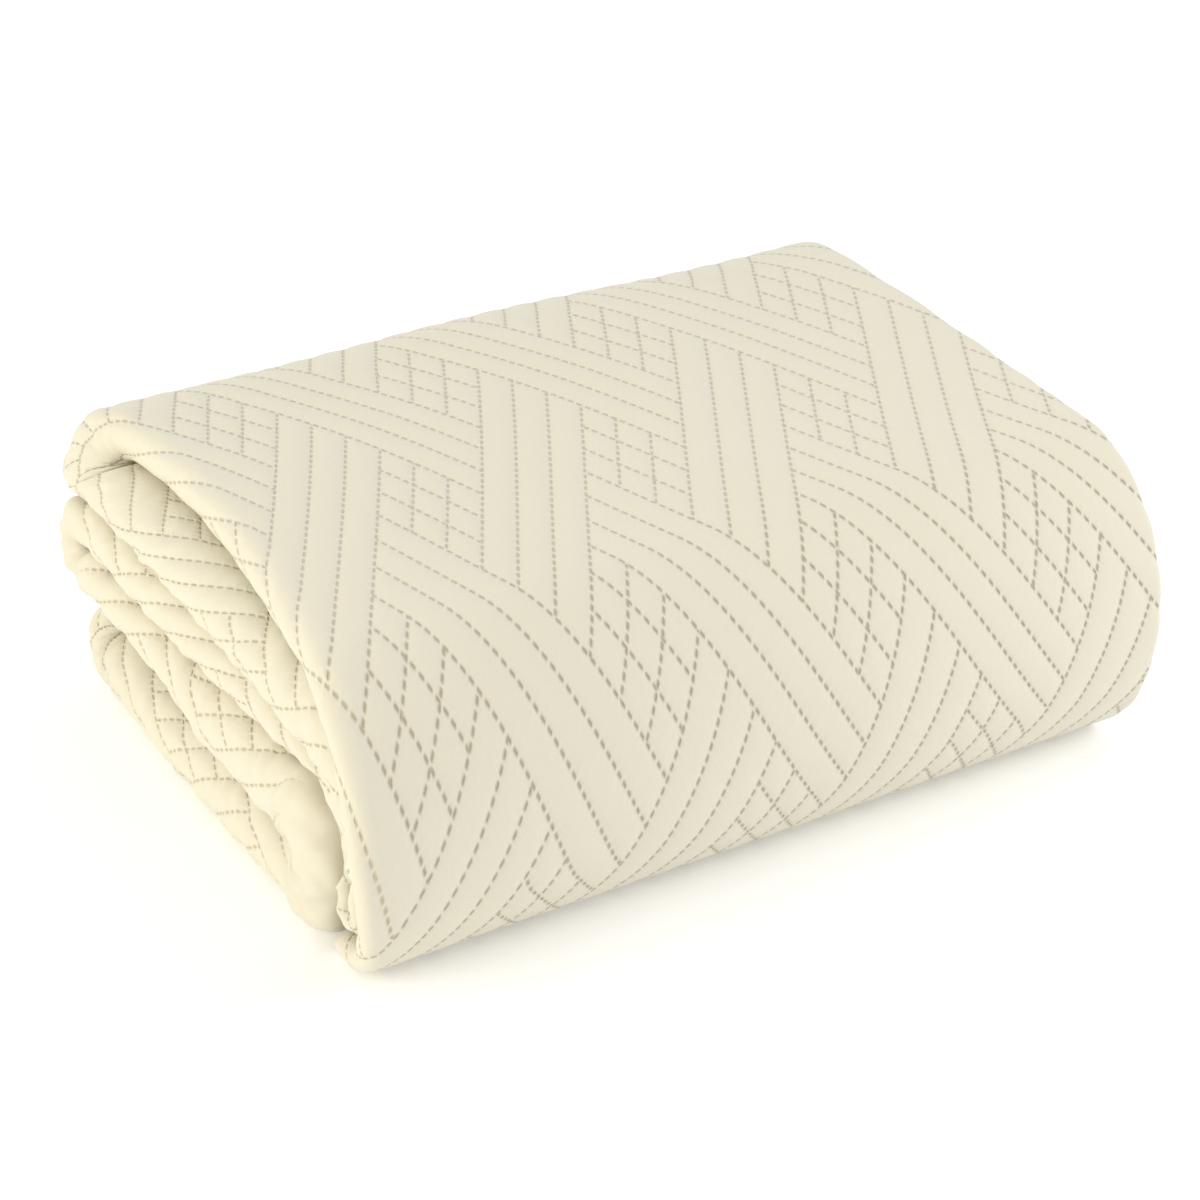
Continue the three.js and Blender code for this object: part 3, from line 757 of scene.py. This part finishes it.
def cotton_material(name, colour, stitch_colour, roughness):
    """Cream woven cotton: a faint mottle and weave, pressed stitches in the lattice's places,
    a soft sheen, and bump for the stitches, the gathers beside them and the yarns."""
    material = bpy.data.materials.new(name)
    material.use_nodes = True
    tree = material.node_tree
    tree.nodes.clear()
    maker = NodeMaker(tree)
    m = maker.math
    output = maker.add("ShaderNodeOutputMaterial")
    shader = maker.add("ShaderNodeBsdfPrincipled")
    maker.link(shader.outputs[0], output.inputs["Surface"])
    stitch_map = maker.add("ShaderNodeUVMap", uv_map="stitching")
    split = maker.add("ShaderNodeSeparateXYZ")
    maker.link(stitch_map.outputs[0], split.inputs[0])
    r, f = split.outputs[0], split.outputs[1]
    cloth_map = maker.add("ShaderNodeUVMap", uv_map="cloth")
    flat = cloth_map.outputs[0]
    place = maker.add("ShaderNodeSeparateXYZ")
    maker.link(flat, place.inputs[0])
    across, along = place.outputs[0], place.outputs[1]
    front = m("MULTIPLY", maker.ramp(along, FRONT_FROM, FRONT_TO),
              maker.ramp(across, END_TO, END_FROM))
    narrow = m("MULTIPLY_ADD", front, 1.0 - THIN, THIN)
    rising = stitch_family(maker, r, f, RISING_STEP, FALLING_STEP, True, RISING_SHIFT, narrow)
    falling = stitch_family(maker, f, r, FALLING_STEP, RISING_STEP, False, FALLING_SHIFT, narrow)
    at_end = maker.ramp(across, END_FROM, END_TO)
    hidden = 0.0
    for low, high in GATHERED_BENDS:
        begins = maker.ramp(along, low, low + GATHERED_EDGE)
        stops = maker.ramp(along, high, high - GATHERED_EDGE)
        hidden = m("MAXIMUM", hidden, m("MULTIPLY", begins, stops))
    in_view = m("SUBTRACT", 1.0, m("MULTIPLY", hidden, at_end))
    groove, pressed, gather = (m("MULTIPLY", in_view, m("MAXIMUM", a, b))
                               for a, b in zip(rising, falling))
    mottle = maker.noise(flat, *MOTTLE)
    yarn = maker.noise(flat, *YARN)
    weave = maker.add("ShaderNodeTexBrick", offset=0.5)
    maker.link(flat, weave.inputs["Vector"])
    weave.inputs["Scale"].default_value = WEAVE_SCALE
    weave.inputs["Mortar Size"].default_value = WEAVE_GAP
    weave.inputs["Mortar Smooth"].default_value = 1.0
    deep = tuple(c * s for c, s in zip(colour[:3], DEEPER)) + (1.0,)
    base = maker.mix_colour(m("MULTIPLY", mottle, MOTTLE_SHARE), colour, deep)
    base = maker.mix_colour(m("MULTIPLY", yarn, YARN_SHARE), base, deep)
    strength = m("MULTIPLY_ADD", front, PLAIN - FAINT, FAINT)
    strength = m("MULTIPLY_ADD", at_end, END_SHOW - FAINT, strength)
    # Painted warm light: at the left end the thread's own colour is mixed towards a warmer tone,
    # standing in for the warm light that falls there
    thread_and_warm_light = maker.mix_colour(at_end, stitch_colour, STITCH_IN_WARM_LIGHT)
    base = maker.mix_colour(m("MULTIPLY", pressed, strength), base, thread_and_warm_light)
    maker.link(base, shader.inputs["Base Color"])
    shader.inputs["Roughness"].default_value = roughness
    shader.inputs["Sheen Weight"].default_value = SHEEN
    shader.inputs["Sheen Roughness"].default_value = SHEEN_ROUGHNESS
    shader.inputs["Specular IOR Level"].default_value = GLOSS
    height = m("MULTIPLY", pressed, STITCH_BUMP)
    for value, share in (
        (groove, GROOVE_BUMP), (gather, GATHER_BUMP), (maker.noise(flat, *CREASED), CREASED_BUMP),
        (yarn, YARN_BUMP), (weave.outputs["Fac"], WEAVE_BUMP),
    ):
        height = m("MULTIPLY_ADD", value, share, height)
    bump = maker.add("ShaderNodeBump")
    bump.inputs["Strength"].default_value = 1.0
    bump.inputs["Distance"].default_value = MM
    maker.link(height, bump.inputs["Height"])
    maker.link(bump.outputs[0], shader.inputs["Normal"])
    return material


FLOOR_MOTTLE, FLOOR_SHADE, FLOOR_ROUGHNESS = 3.0, 0.99, 0.9


def floor_material(colour, glow):
    """A pale matt floor with a barely seen mottle, lit a little from below like a light table."""
    material = bpy.data.materials.new("pale_floor")
    material.use_nodes = True
    tree = material.node_tree
    maker = NodeMaker(tree)
    shader = tree.nodes["Principled BSDF"]
    place = maker.add("ShaderNodeTexCoord")
    tone = maker.noise(place.outputs["Object"], FLOOR_MOTTLE)
    dark = tuple(c * FLOOR_SHADE for c in colour[:3]) + (1.0,)
    maker.link(maker.mix_colour(tone, colour, dark), shader.inputs["Base Color"])
    shader.inputs["Roughness"].default_value = FLOOR_ROUGHNESS
    shader.inputs["Emission Color"].default_value = (1.0, 1.0, 1.0, 1.0)
    shader.inputs["Emission Strength"].default_value = glow
    return material


class BedspreadSettings(bpy.types.PropertyGroup):
    """What a user may change about the bedspread."""

    cotton: bpy.props.FloatVectorProperty(
        name="Cotton", description="Colour of the cloth", subtype="COLOR", size=4,
        min=0.0, max=1.0, default=(0.762, 0.722, 0.595, 1.0))
    stitch: bpy.props.FloatVectorProperty(
        name="Stitches", description="Colour of the pressed stitches", subtype="COLOR", size=4,
        min=0.0, max=1.0, default=(0.40, 0.335, 0.20, 1.0))
    roughness: bpy.props.FloatProperty(
        name="Roughness", description="How matt the cotton is", subtype="FACTOR",
        min=0.0, max=1.0, default=0.88)
    flat_width: bpy.props.FloatProperty(
        name="Flat width", description="Width of the cloth laid out flat", unit="LENGTH",
        default=2.2, min=0.5, max=5.0)
    flat_length: bpy.props.FloatProperty(
        name="Flat length", description="Length of the cloth laid out flat", unit="LENGTH",
        default=2.4, min=0.5, max=5.0)


class StudioSettings(bpy.types.PropertyGroup):
    """What a user may change about the floor, the light and the camera."""

    floor: bpy.props.FloatVectorProperty(
        name="Floor", description="Colour of the floor", subtype="COLOR", size=4,
        min=0.0, max=1.0, default=(0.95, 0.95, 0.95, 1.0))
    sky: bpy.props.FloatProperty(
        name="Room light", description="Strength of the light from all round",
        min=0.0, max=5.0, default=0.9)
    glow: bpy.props.FloatProperty(
        name="Floor glow", description="Strength of the floor's own light",
        min=0.0, max=5.0, default=0.15)
    focal_length: bpy.props.FloatProperty(
        name="Focal length", description="Focal length of the lens", unit="CAMERA",
        default=102.8, min=20.0, max=300.0)


class OBJECT_OT_folded_bedspread(bpy.types.Operator):
    """Builds the folded bedspread around its CAD node"""

    bl_idname = "object.folded_bedspread"
    bl_label = "Folded bedspread"

    def execute(self, context):
        settings = context.scene.bedspread
        points, quads, triangles, stitching, flat = cloth_surface()
        piece = mesh_object("bedspread_cloth", points, quads, triangles,
                            {"stitching": stitching, "cloth": flat})
        piece.data.materials.append(cotton_material(
            "cream_cotton", tuple(settings.cotton), tuple(settings.stitch), settings.roughness))
        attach(piece, "root")
        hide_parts("bedspread")
        return {"FINISHED"}


# The studio, in metres and degrees
FLOOR_DEPTH = 0.0005          # under the bedspread, so that their faces don't meet
FLOOR_HALF = 12.0
CAMERA_TURN, CAMERA_HEIGHT = -30.7, 30.5
CAMERA_PLACE = (-0.944, -1.589, 1.170)
SENSOR_WIDTH, VIEW_END = 36.0, 100.0

SKY = (0.975, 0.987, 1.0, 1.0)
FRONT_DIM = 0.2               # share by which the room is darker towards the front
DIM_FROM, DIM_TO = 0.2, -1.0  # over which part of the directions, back to front, it darkens

# Soft boxes: name, power in watts, colour, width and height in metres, place
LIGHTS_AIM = (0.0, 0.0, 0.1)
SOFT_BOXES = (
    ("key_light", 17.0, (1.0, 0.90, 0.66), 1.2, 1.0, (-2.0, 0.1, 0.8)),
    ("front_light", 8.0, (1.0, 0.985, 0.95), 0.8, 0.8, (1.1, -0.9, 1.0)),
)


class OBJECT_OT_pale_studio(bpy.types.Operator):
    """Builds the floor, the lights and the camera"""

    bl_idname = "object.pale_studio"
    bl_label = "Pale studio"

    def execute(self, context):
        settings = context.scene.bedspread_studio
        corner = FLOOR_HALF
        points = np.array([(-corner, -corner, -FLOOR_DEPTH), (corner, -corner, -FLOOR_DEPTH),
                           (corner, corner, -FLOOR_DEPTH), (-corner, corner, -FLOOR_DEPTH)])
        floor = mesh_object("studio_floor", points, np.array([[0, 1, 2, 3]]),
                            np.empty((0, 3), int), {})
        floor.data.materials.append(floor_material(tuple(settings.floor), settings.glow))
        for name, power, colour, width, height, place in SOFT_BOXES:
            light = bpy.data.lights.new(name, "AREA")
            light.shape = "RECTANGLE"
            light.size, light.size_y, light.energy = width, height, power
            light.color = colour
            lamp = bpy.data.objects.new(name, light)
            lamp.location = place
            aim = Vector(LIGHTS_AIM) - lamp.location
            lamp.rotation_euler = aim.to_track_quat("-Z", "Y").to_euler()
            context.scene.collection.objects.link(lamp)
        world = bpy.data.worlds.new("soft_room")
        world.use_nodes = True
        background = world.node_tree.nodes["Background"]
        background.inputs["Color"].default_value = SKY
        maker = NodeMaker(world.node_tree)
        direction = maker.add("ShaderNodeSeparateXYZ")
        maker.link(maker.add("ShaderNodeTexCoord").outputs["Generated"], direction.inputs[0])
        dim = maker.ramp(direction.outputs[1], DIM_FROM, DIM_TO)
        maker.link(maker.math("MULTIPLY_ADD", dim, -FRONT_DIM * settings.sky, settings.sky),
                   background.inputs["Strength"])
        context.scene.world = world
        context.scene.view_settings.view_transform = "Standard"
        camera_data = bpy.data.cameras.new("photo_camera")
        camera_data.sensor_width = SENSOR_WIDTH
        camera_data.lens = settings.focal_length
        camera_data.clip_end = VIEW_END
        camera = bpy.data.objects.new("photo_camera", camera_data)
        camera.location = CAMERA_PLACE
        camera.rotation_euler = (np.radians(90 - CAMERA_HEIGHT), 0.0, np.radians(CAMERA_TURN))
        context.scene.collection.objects.link(camera)
        context.scene.camera = camera
        return {"FINISHED"}


class VIEW3D_PT_bedspread(bpy.types.Panel):
    """Lists the pieces and their settings in the sidebar"""

    bl_label = "Folded bedspread"
    bl_idname = "VIEW3D_PT_bedspread"
    bl_space_type = "VIEW_3D"
    bl_region_type = "UI"
    bl_category = "Bedspread"

    def draw(self, context):
        layout = self.layout
        for settings, operator in (
            (context.scene.bedspread, OBJECT_OT_folded_bedspread.bl_idname),
            (context.scene.bedspread_studio, OBJECT_OT_pale_studio.bl_idname),
        ):
            for key in settings.__annotations__:
                layout.prop(settings, key)
            layout.operator(operator)


CLASSES = (BedspreadSettings, StudioSettings, OBJECT_OT_folded_bedspread, OBJECT_OT_pale_studio,
           VIEW3D_PT_bedspread)


def register():
    for cls in CLASSES:
        bpy.utils.register_class(cls)
    bpy.types.Scene.bedspread = bpy.props.PointerProperty(type=BedspreadSettings)
    bpy.types.Scene.bedspread_studio = bpy.props.PointerProperty(type=StudioSettings)


def unregister():
    del bpy.types.Scene.bedspread_studio
    del bpy.types.Scene.bedspread
    for cls in reversed(CLASSES):
        bpy.utils.unregister_class(cls)


def main():
    """Registers the add-on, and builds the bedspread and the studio."""
    register()
    bpy.ops.object.folded_bedspread()
    bpy.ops.object.pale_studio()


if __name__ == "__main__":
    main()
